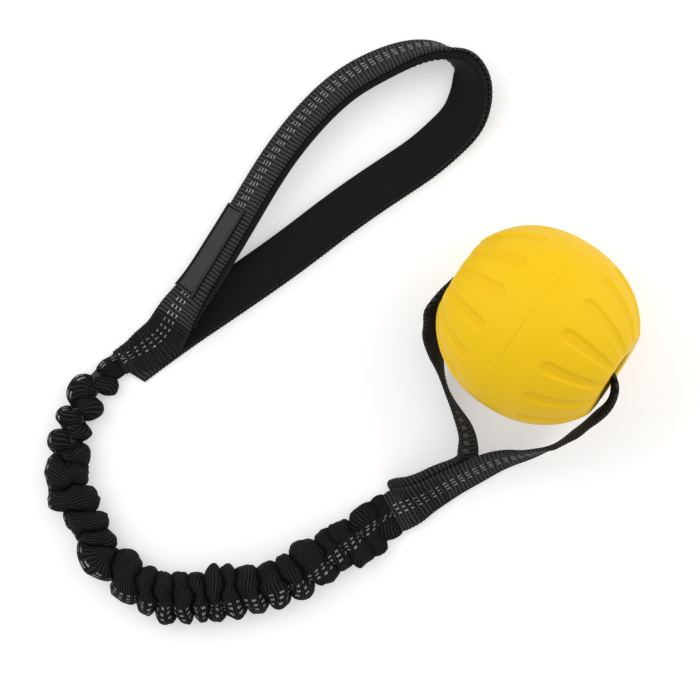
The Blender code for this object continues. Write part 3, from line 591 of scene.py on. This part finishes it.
def strapProfile():
    # outline of webbing with half-round selvedges, across and through it in halves of its size;
    # third column is 1 on the outer face, 0 on the inner face and 0.5 on the selvedges
    face = np.linspace(-1.0, 1.0, strapLook["faceSteps"])
    turn = np.linspace(math.pi / 2, -math.pi / 2, strapLook["edgeSteps"] + 2)[1:-1]
    outer = np.stack([face, np.ones_like(face), np.ones_like(face)], 1)
    right = np.stack([1 + np.cos(turn), np.sin(turn), np.full_like(turn, 0.5)], 1)
    inner = np.stack([face[::-1], -np.ones_like(face), np.zeros_like(face)], 1)
    left = np.stack([-1 - np.cos(turn), -np.sin(turn), np.full_like(turn, 0.5)], 1)
    return np.vstack([outer, right, inner, left])


def strapSurface(name, line, first, last, widths, thickness, material, body, ribs=True, off=None,
                 backUntil=1.0, slant=0.0, shift=0.0):
    # the profile carried along the line; each cross rib lifts both faces by |sin| of the length
    # over the pitch and pushes the selvedges out as much
    run = np.append(np.arange(first, last, strapLook["station"]), last)
    wide = np.broadcast_to(widths(run), run.shape)[:, None]
    half = np.broadcast_to(thickness(run), run.shape)[:, None] / 2
    flat = wide / 2 - half
    centre, ahead, across, normal = along(line, run)
    rib = (np.abs(np.sin(math.pi * run / webbingLook["ribPitch"]))**webbingLook["ribPower"])[:, None]
    ribRise, push = strapLook["ribDepth"] * (rib - 1) * ribs, strapLook["scallop"] * (rib - 0.5) * ribs
    sideOf, through, facing = strapProfile().T
    onFace = facing != 0.5
    u = np.where(onFace, sideOf * flat, np.sign(sideOf) * (flat + (np.abs(sideOf) - 1) * half + push))
    v = through * (half + np.where(onFace, ribRise, 0.0))
    if off is not None:
        v = v + off(run)[:, None]
    u = u + shift * np.cos(np.interp(run, line["run"], line["fine"][:, 3]))[:, None]
    points = centre[:, None] + u[..., None] * across[:, None] + v[..., None] * normal[:, None]
    # a slanting cut draws the first end out on one side
    cut = np.clip(strapLook["cutFrom"] - u, 0, strapLook["cutWide"])
    drawnOut = slant * cut * (1 - smooth(0, strapLook["cutLong"], run - first))[:, None]
    points = points - drawnOut[..., None] * ahead[:, None]
    woven = u * webbingWidth / wide
    backOf = np.where(run < backUntil, 1.0, 0.5)[:, None]
    sideways = woven + np.where(facing == 1, 0.0, np.where(facing == 0, backOf, 0.5))
    closed = np.hstack([sideways, sideways[:, :1]])
    uv = np.stack([closed, np.repeat(run[:, None], closed.shape[1], 1)], -1)
    return tubeSurface(name, points, uv, material, body)


def pressedThin(fromHinge):
    # webbing pressed thin beside a hinge, so that the fold has room
    grown = smooth(strapLook["pressedFrom"], strapLook["pressedTo"], fromHinge)
    return webbingThickness * (strapLook["pressed"] + (1 - strapLook["pressed"]) * grown)


handleLook = {
    "length": 0.2116, "heading": math.radians(36.5), "rearSetback": 0.0028, "hingeGap": 0.0009,
    # along and across from the neck in lengths, lean in degrees, rise in lined straps
    "route": [
        (0, -0.017, 180, 0), (0.098, -0.017, 180, 0), (0.155, -0.018, 180, 0), (0.23, -0.021, 180, 0),
        (0.323, -0.0245, 180, 0), (0.445, -0.0268, 180, 0), (0.537, -0.0256, 180, 0),
        (0.627, -0.0262, 180, 0), (0.734, -0.0312, 180, 0), (0.8, -0.0328, 179, 0), (0.854, -0.029, 175, 0),
        (0.912, -0.018, 165, 0), (0.945, 0.001, 152, 0), (0.969, 0.024, 139, 0.02), (0.984, 0.048, 124, 0.04),
        (0.99, 0.074, 108, 0.06), (0.984, 0.101, 93, 0.08), (0.967, 0.127, 79, 0.1), (0.941, 0.15, 69, 0.12),
        (0.884, 0.176, 57, 0.14), (0.83, 0.189, 51, 0.16), (0.759, 0.198, 49, 0.16), (0.637, 0.186, 49, 0.16),
        (0.528, 0.156, 50, 0.16), (0.408, 0.108, 50, 0.16), (0.3, 0.064, 48, 0.18), (0.217, 0.0325, 42, 0.34),
        (0.159, 0.0115, 24, 0.44), (0.13, -0.001, 14, 0.26), (0.109, -0.0078, 7, 0.03),
        (0.085, -0.0108, 2, 0), (0.06, -0.0092, 0, 0), (0.03, -0.0045, 0, 0), (0, 0, 0, 0),
    ],
    "taper": [(0.0, 0.6), (0.45, 0.72), (0.95, 0.93), (1.4, 1.0)], "neckWidth": 0.0125, "slant": 0.4,
    "rowGap": 0.0023, "outerRow": -0.0014, "sewnLength": 0.033,
    "liningWidth": 0.0198, "liningShift": 0.001, "liningThickness": 0.0037, "liningSkived": 0.001,
    "skiveLength": 0.024, "liningGap": 0.6 * layerGap, "liningRear": 0.0275, "liningFront": 0.035,
}


def handleLine(look):
    ahead, left = heading(look["heading"]), heading(look["heading"] + math.pi / 2)
    rows = []
    for reach, offset, degrees, rise in look["route"]:
        lean = math.radians(degrees)
        place = neck + look["length"] * (reach * ahead + offset * left)
        place[2] = restHeight(lean, secondLayer, webbingThickness / 2) + rise * linedStrap
        rows.append((*place, lean))
    return middleLine(rows)


hand = handleLine(handleLook)


def handleWidths(run):
    return webbingWidth * readRows((hand["total"] - run) / handleLook["neckWidth"], handleLook["taper"])


handWebbing = webbingMaterial("handWebbing", rowGap=handleLook["rowGap"], outerRow=handleLook["outerRow"],
                              sewn=(hand["total"] - handleLook["sewnLength"], hand["total"] + 0.01))
handStrap = strapSurface("handLoopWebbing", hand, handleLook["rearSetback"],
                         hand["total"] - handleLook["hingeGap"], handleWidths,
                         lambda run: pressedThin(hand["total"] - run), handWebbing, "handle",
                         slant=handleLook["slant"])
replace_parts(handStrap, "handle_webbing")

liningFirst, liningLast = handleLook["liningRear"], hand["total"] - handleLook["liningFront"]


def liningThickness(run):
    # skived thin at both ends
    ends = np.minimum(run - liningFirst, liningLast - run) / handleLook["skiveLength"]
    thin, full = handleLook["liningSkived"], handleLook["liningThickness"]
    return thin + smooth(0, 1, ends) * (full - thin)


def liningOff(run):
    return -(webbingThickness / 2 + handleLook["liningGap"] + liningThickness(run) / 2)


lining = strapSurface("palmLining", hand, liningFirst, liningLast, lambda run: handleLook["liningWidth"],
                      liningThickness, foamLining, "handle", ribs=False, off=liningOff,
                      shift=handleLook["liningShift"])
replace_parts(lining, "handle_lining")
print("hand loop made")

# Strap that carries the ball
ballStrapLook = {
    # x and y from the ball's middle and rise, all in its radii, and lean in degrees
    "first": [
        (-1.462, -2.01, 0, 0), (-1.431, -1.993, 0, 1), (-1.336, -1.946, 0, 14), (-1.195, -1.878, 0, 34),
        (-1.024, -1.783, 0, 43), (-0.842, -1.679, 0, 48), (-0.659, -1.584, 0, 51), (-0.486, -1.5, 0, 55),
        (-0.284, -1.428, 0, 64), (-0.11, -1.386, 0.028, 73), (0.04, -1.343, 0.094, 80),
        (0.232, -1.27, 0.188, 86), (0.346, -1.194, 0.294, 90), (0.482, -1.092, 0.424, 92),
        (0.593, -0.986, 0.565, 91), (0.704, -0.857, 0.74, 90), (0.757, -0.748, 0.84, 90),
        (0.774, -0.648, 0.9, 90), (0.768, -0.572, 0.932, 90),
    ],
    "bore": (0.94, 0.5, 0.0, -0.5, -0.94),
    "second": [
        (-0.8, 0.505, 0.61, 90), (-0.852, 0.487, 0.6, 90), (-0.905, 0.44, 0.58, 92),
        (-1.024, 0.299, 0.546, 97), (-1.065, 0.224, 0.485, 102), (-1.079, 0.106, 0.378, 108),
        (-1.076, 0.005, 0.284, 111), (-1.057, -0.133, 0.179, 112), (-1.016, -0.29, 0.096, 109),
        (-0.986, -0.41, 0.06, 102), (-0.953, -0.552, 0.03, 96), (-0.909, -0.698, 0.01, 95),
        (-0.83, -0.867, 0, 99), (-0.767, -0.989, 0, 105), (-0.717, -1.098, 0, 110), (-0.687, -1.208, 0, 114),
        (-0.682, -1.31, 0, 118), (-0.69, -1.42, 0, 120),
    ],
    "sewnLength": 0.026, "tailEnd": 0.0022, "tailRows": 7, "tailShift": 0.0042, "tailGap": 0.0006,
    "hingeGap": 0.0009, "corner": 0.0026, "outerRow": 0.0009, "innerRow": 0.0036,
    # no dashes from plainFrom until plainBefore the end; after backBefore the back has none either
    "plainFrom": 0.078, "plainBefore": 0.064, "backBefore": 0.042,
}


def ballStrapLine(look):
    # the first leg, the run through the bore, the second leg and the tail sewn over the first leg
    def leg(shares):
        rows = []
        for x, y, rise, degrees in shares:
            lean = math.radians(degrees)
            place = ballCentre + ballRadius * np.array([x, y, 0])
            place[2] = restHeight(lean, secondLayer, secondLayer) + rise * ballRadius
            rows.append((*place, lean))
        return rows

    first = leg(look["first"])
    through = [(*(ballCentre + boreAxis * ballFlat * s), math.pi / 2) for s in look["bore"]]
    runs = np.linspace(look["sewnLength"], look["tailEnd"], look["tailRows"])
    centre, ahead, across, normal = along(middleLine(first), runs)
    places = centre + across * look["tailShift"] - normal * (webbingThickness + layerGap)
    leans = [math.atan2(a[2], -np.cross(up, t) @ a) for a, t in zip(across, ahead)]
    tail = [(*p, lean) for p, lean in zip(places, leans)]
    return middleLine(first + through + leg(look["second"]) + tail)


carrier = ballStrapLine(ballStrapLook)
tailEnd = carrier["total"] - ballStrapLook["tailGap"]


def ballStrapWidths(run):
    # full width, with the tail's two corners rounded: w - 2 (r - sqrt(r^2 - (r - d)^2))
    corner = ballStrapLook["corner"]
    near = np.clip(tailEnd - run, 0, corner)
    return webbingWidth - 2 * (corner - np.sqrt(corner**2 - (corner - near)**2))


noDashes = (ballStrapLook["plainFrom"], carrier["total"] - ballStrapLook["plainBefore"])
ballWebbing = webbingMaterial("ballWebbing", outerRow=ballStrapLook["outerRow"],
                              innerRow=ballStrapLook["innerRow"], plain=noDashes)
ballStrap = strapSurface("ballCarrierWebbing", carrier, ballStrapLook["hingeGap"], tailEnd, ballStrapWidths,
                         pressedThin, ballWebbing, "ball_loop",
                         backUntil=carrier["total"] - ballStrapLook["backBefore"])
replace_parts(ballStrap, "ball_strap")
print("ball strap made")

# Ball
ballLook = {
    "flutes": 15, "fluteDepth": 0.0011, "phase": math.radians(-1.3), "halfWidth": math.radians(3.9),
    "wall": 0.0009, "wallTurn": math.radians(1.6), "start": 0.015, "fluteFade": (0.0016, 0.001),
    "skinRings": 104, "crowding": 0.93, "rimRings": 9, "faceRings": 10, "lipRings": 8,
    "bore": webbingWidth / 2 + 0.0015, "lip": 0.0012, "rimRound": 0.0011, "rimIn": 0.0016, "faceIn": 0.0008,
    "seamShift": 0.0006, "seamLean": 0.05, "seamHalf": 0.00011,
    # the second colour is painted shade in the flutes, the third the mould's seam
    "yellow": (0.9, 0.565, 0.008, 1), "hollow": (0.87, 0.53, 0.006, 1), "seam": (0.5, 0.26, 0.01, 1),
}


def ballGirth(axial):
    # fuller than an ellipse: radius b (1 - (x / a)^n)^(1/n)
    share = np.clip(np.abs(axial) / (ballLengthening * ballRadius), 0, 1)
    return ballRadius * (1 - share**ballFullness) ** (1 / ballFullness)


def ballSurface(look):
    # the profile turned round the bore; a flute is a groove with a round end, as deep as
    # depth (1 - smooth((distance from its edge) / wall)), the distance measured on the skin
    meet = (ballFlat - look["rimRound"] * 0.5) / (ballLengthening * ballRadius)
    share = np.linspace(0, 1, look["skinRings"])[1:] ** look["crowding"]
    angle = share * math.asin(meet ** (ballFullness / 2))
    skin = ballLengthening * ballRadius * np.sin(angle) ** (2 / ballFullness)
    barrel = np.stack([skin, ballGirth(skin)], 1)
    start, slope = barrel[-1], unit(barrel[-1] - barrel[-2])
    bend = np.linspace(0, 1, look["rimRings"])[1:, None]
    knee = start + slope * (ballFlat - start[0]) / slope[0]
    rim = ((1 - bend)**2 * start + 2 * bend * (1 - bend) * knee
           + bend**2 * np.array([ballFlat, knee[1] - look["rimIn"]]))
    mouth = look["bore"] + look["lip"]
    radii = np.linspace(rim[-1, 1] - look["faceIn"], mouth, look["faceRings"])
    face = np.stack([np.full_like(radii, ballFlat), radii], 1)
    corner = np.linspace(0, math.pi / 2, look["lipRings"])[1:]
    inner = np.stack([ballFlat - look["lip"] * (1 - np.cos(corner)), mouth - look["lip"] * np.sin(corner)], 1)
    half = np.vstack([barrel, rim, face, inner])
    profile = np.vstack([half[::-1] * [-1, 1], half, [[0.0, look["bore"]]]])
    lengths = runningLength(np.vstack([[0, ballRadius], half]))[1:]
    skinRun = np.concatenate([lengths[::-1], lengths, [0.0]])[:, None]
    startRun = np.interp(look["start"], skin, lengths[:len(skin)])
    # columns of one flute's sector, closer together on its walls
    nearWall, farWall = look["halfWidth"] - look["wallTurn"], look["halfWidth"] + look["wallTurn"]
    sector = np.concatenate([np.linspace(0, nearWall, 4)[:-1], np.linspace(nearWall, farWall, 9)[:-1],
                             np.linspace(farWall, math.pi / look["flutes"], 5)])
    sector = np.concatenate([-sector[::-1][:-1], sector[:-1]])
    flutesAt = look["phase"] + np.arange(look["flutes"])[:, None] * 2 * math.pi / look["flutes"]
    azimuth = (flutesAt + sector).ravel()
    sideways = np.tile(sector, look["flutes"])
    axial, radius = profile[:, :1], profile[:, 1:]
    halfWidth = look["halfWidth"] * radius
    before = np.minimum(skinRun - startRun - halfWidth, 0)
    outside = np.hypot(before, sideways * radius) - halfWidth
    nearBore, nearRim = look["fluteFade"]
    groove = 1 - smooth(-look["wall"], look["wall"], outside)
    groove = groove * smooth(look["bore"] + nearBore, ballGirth(ballFlat) - nearRim, radius)
    groove[-1] = 0
    drawn = radius - look["fluteDepth"] * groove
    top = unit(up - boreAxis * boreAxis[2])
    side = np.cross(boreAxis, top)
    placed = (ballCentre + (drawn * np.cos(azimuth))[..., None] * top
              + (drawn * np.sin(azimuth))[..., None] * side + axial[..., None] * unit(boreAxis))
    seam = axial + look["seamShift"] + look["seamLean"] * radius * np.sin(azimuth)
    return placed, seam, groove


def ballMaterial(look):
    # yellow foam, painted a little darker in the flutes as shade, with the mould's thin seam
    made, tree, shader = newMaterial("yellowFoam", Roughness=0.45, Specular_IOR_Level=0.12)
    fromSeam, inFlute = uvParts(tree)
    colour = blendColours(inFlute * 0.6, look["yellow"], look["hollow"])
    line = (abs(fromSeam) < look["seamHalf"]) * (noise(tree, 60.0, 2.0) * 0.9)
    colour = blendColours(line, colour, look["seam"])
    finish(shader, colour, noise(tree, 900.0, 4.0), 0.00006)
    return made


ballPoints, seamAway, fluteShare = ballSurface(ballLook)
ringRows, ringColumns = ballPoints.shape[:2]
ballFaces, _ = ringFaces(ringRows, ringColumns)
# the last ring, in the middle of the bore, joins the first one
here = np.arange(ringColumns)
following = (here + 1) % ringColumns
lastRing = (ringRows - 1) * ringColumns
ballFaces = np.vstack([ballFaces, np.stack([lastRing + here, lastRing + following, following, here], 1)])
ballUv = np.stack([seamAway.ravel(), fluteShare.ravel()], 1)[ballFaces]
ballPiece = newObject("flutedBall", ballPoints, ballFaces.tolist(), ballMaterial(ballLook), "ball", ballUv)
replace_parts(ballPiece, "ball")
print("ball made")

# Stitches
stitchLook = {
    "steps": 7, "sides": 6, "sunk": 0.00005,
    "joint": {"first": 0.0056, "last": 0.034, "pitch": 0.0021, "teeth": 16, "swing": 0.0016,
              "inset": 0.0011, "rise": 0.00022, "radius": 0.00017},
    "tail": {"first": 0.008, "last": 0.026, "pitch": 0.0024, "teeth": 18, "swing": 0.0016,
             "reach": 0.0086, "rise": 0.00022, "radius": 0.00016},
    "lining": {"rear": 0.004, "front": 0.006, "pitch": 0.0034, "length": 0.0026, "inset": 0.0013,
               "raised": 0.0001, "rise": 0.0002, "radius": 0.0002},
    "patch": {"rear": 0.0018, "front": 0.0036, "pitch": 0.0026, "length": 0.0019, "inset": 0.00135,
              "raised": 0.0004, "rise": 0.0002, "radius": 0.00014},
}


def stitches(name, starts, ends, normals, look, body, node):
    # each stitch is an arc start + (end - start) t + rise sin(pi t) off the cloth, thinner at both
    # ends where the thread goes in
    steps, sides = stitchLook["steps"], stitchLook["sides"]
    t = np.linspace(0, 1, steps)[None, :, None]
    starts, ends, normals = starts[:, None], ends[:, None], normals[:, None]
    bow = np.sin(math.pi * t)
    centre = starts + (ends - starts) * t + normals * (look["rise"] * bow)
    side = np.broadcast_to(unit(np.cross(ends - starts, normals)), centre.shape)[:, :, None]
    lift = np.broadcast_to(unit(normals), centre.shape)[:, :, None]
    angle = np.linspace(0, 2 * math.pi, sides, endpoint=False)[:, None]
    girth = look["radius"] * (0.4 + 0.6 * np.sqrt(bow))[..., None]
    points = centre[:, :, None] + girth * (np.cos(angle) * side + np.sin(angle) * lift)
    faces, _ = ringFaces(steps, sides)
    caps = np.stack([np.arange(sides)[::-1], (steps - 1) * sides + np.arange(sides)])
    one = np.vstack([faces[:, ::-1], caps[:, [0, 1, 2, 3]], caps[:, [0, 3, 4, 5]]])
    every = (one[None] + steps * sides * np.arange(len(points))[:, None, None]).reshape(-1, 4)
    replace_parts(newObject(name, points, every.tolist(), threadBlack, body), node)


def onStrap(line, run, u, v):
    # places on a strap: run along it, u across it, v out of its face; with the face's normal
    centre, ahead, across, normal = along(line, run)
    return centre + np.asarray(u)[..., None] * across + np.asarray(v)[..., None] * normal, normal


def zigzagRows(line, runs, reach, look):
    # rows of zigzag across a strap: tooth k at u = reach (2 k / teeth - 1), run +- swing / 2
    tooth = np.arange(look["teeth"] + 1)
    u = reach[:, None] * (2 * tooth / look["teeth"] - 1)
    run = runs[:, None] + np.where(tooth % 2, 0.5, -0.5) * look["swing"]
    places, normal = onStrap(line, run, u, np.full(u.shape, webbingThickness / 2 - stitchLook["sunk"]))
    return places[:, :-1].reshape(-1, 3), places[:, 1:].reshape(-1, 3), normal[:, :-1].reshape(-1, 3)


def runningStitches(line, look, first, last, sides, off):
    # straight stitches along both sides of a piece: starts, ends and the strap's normals
    runs = np.arange(first + look["rear"], last - look["front"], look["pitch"])
    starts, ends = ([onStrap(line, runs + step, np.full(runs.shape, side), off(runs)) for side in sides]
                    for step in (0.0, look["length"]))
    return (np.vstack([places for places, _ in starts]), np.vstack([places for places, _ in ends]),
            np.vstack([normal for _, normal in starts]))


joint, tail, edge = stitchLook["joint"], stitchLook["tail"], stitchLook["lining"]
jointRuns = hand["total"] - np.arange(joint["first"], joint["last"], joint["pitch"])
jointReach = handleWidths(jointRuns) / 2 - joint["inset"]
stitches("jointStitches", *zigzagRows(hand, jointRuns, jointReach, joint), joint, "handle",
         "handle_joint_stitching")
tailRuns = np.arange(tail["first"], tail["last"], tail["pitch"])
tailReach = np.full(tailRuns.shape, tail["reach"])
stitches("tailStitches", *zigzagRows(carrier, tailRuns, tailReach, tail), tail, "ball_loop",
         "ball_tail_stitching")
edgeSide = handleLook["liningWidth"] / 2 - edge["inset"]
edgeStarts, edgeEnds, edgeNormals = runningStitches(
    hand, edge, liningFirst, liningLast, (edgeSide, -edgeSide),
    lambda runs: liningOff(runs) - liningThickness(runs) / 2 + edge["raised"])
stitches("liningStitches", edgeStarts, edgeEnds, -edgeNormals, edge, "handle", "lining_stitching")
print("stitches made")

# Label patch, bare
patchLook = {
    "near": 0.0462, "length": 0.0458, "low": -0.0097, "high": 0.0044, "gap": 0.0001,
    # the mesh is fine beside the edges
    "fineStep": 0.0001, "fineWide": 0.0024, "fineLast": 0.003, "coarseFrom": 0.0042, "coarseStep": 0.0012,
    "coarseIn": 0.0028, "coarseColumns": 6,
    # height over the webbing by distance from the edge: rim, groove, face
    "section": [(0, 0), (0.00012, 0.001), (0.0004, 0.00122), (0.0008, 0.00122), (0.001, 0.0011),
                (0.0011, 0.0003), (0.0016, 0.0003), (0.0017, 0.0007), (0.002, 0.00075), (0.01, 0.00075)],
    "rubber": (0.026, 0.026, 0.029, 1), "shadow": (0.001, 0.001, 0.001, 1), "groove": (0.0009, 0.0019),
}
patchFirst = hand["total"] - patchLook["near"] - patchLook["length"]


def patchMaterial(look):
    # soft plastic, with painted shade nearly black in the groove inside its edge
    made, tree, shader = newMaterial("patchRubber", Roughness=0.6, Specular_IOR_Level=0.25)
    fromEdge, _ = uvParts(tree)
    colour = blendColours(within(fromEdge, *look["groove"]), look["rubber"], look["shadow"])
    finish(shader, colour, noise(tree, 2200.0, 4.0), 0.00005)
    return made


def patchSurface(look):
    # rings round the patch, whose top is the section read at the distance from its nearest edge
    length, width, inset = look["length"], look["high"] - look["low"], look["coarseIn"]
    end = np.append(np.arange(0, look["fineWide"], look["fineStep"]), look["fineLast"])
    coarse = np.arange(look["coarseFrom"], length - look["coarseFrom"], look["coarseStep"])
    run = np.concatenate([end, coarse, length - end[::-1]])
    across = np.linspace(inset, width - inset, look["coarseColumns"])
    over = np.concatenate([end[:-1], across, width - end[:-1][::-1]])
    distance = np.minimum(np.minimum(over, width - over), np.minimum(run, length - run)[:, None])
    top = readRows(distance, look["section"])
    u = np.concatenate([over, over[::-1]])[None] + look["low"] + 0 * run[:, None]
    v = np.hstack([top, 0 * top]) + webbingThickness / 2 + look["gap"]
    places, _ = onStrap(hand, (patchFirst + run)[:, None] + 0 * u, u, v)
    fromEdge = np.hstack([distance, 0 * distance, distance[:, :1]])
    return places, np.stack([fromEdge, 0 * fromEdge], -1)


patchPoints, patchUv = patchSurface(patchLook)
patch = tubeSurface("rubberPatch", patchPoints, patchUv, patchMaterial(patchLook), "handle")
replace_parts(patch, "label_patch")
sewing = stitchLook["patch"]
sewnSides = (patchLook["low"] + sewing["inset"], patchLook["high"] - sewing["inset"])
sewnRows = runningStitches(hand, sewing, patchFirst, patchFirst + patchLook["length"], sewnSides,
                           lambda runs: np.full(runs.shape, webbingThickness / 2 + sewing["raised"]))
stitches("patchStitches", *sewnRows, sewing, "handle", "label_stitching")
print("patch made")

# Bar tacks
tackLook = {"radius": 0.0013, "round": 0.0008, "roundShare": 0.4, "handReach": 0.006, "ballReach": 0.0097}


def endBar(name, line, run, reach, material, body, node):
    # round bar of thread on the joint's axis, whose radius eases in towards its ends
    angle = np.linspace(0, 2 * math.pi, 33)
    u = reach * np.sin(np.linspace(-math.pi / 2, math.pi / 2, 60))[:, None]
    place, ahead, across, normal = along(line, np.array([run]))
    easing = smooth(-tackLook["round"], 0, np.abs(u) - reach)
    radius = tackLook["radius"] * (1 - tackLook["roundShare"] * easing)
    forward, upward = radius * np.cos(angle), radius * np.sin(angle)
    points = place + u[..., None] * across + forward[..., None] * ahead + upward[..., None] * normal
    uv = np.stack([np.broadcast_to(u, forward.shape), run + forward], -1)
    bar = tubeSurface(name, points[:, :-1], uv, material, body, flip=True)
    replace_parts(bar, node)


endBar("handleEndTack", hand, hand["total"], tackLook["handReach"], handWebbing, "handle_end",
       "handle_end_tack")
endBar("ballEndTack", carrier, 0.0, tackLook["ballReach"], ballWebbing, "bungee", "ball_end_tack")
print("tacks made")
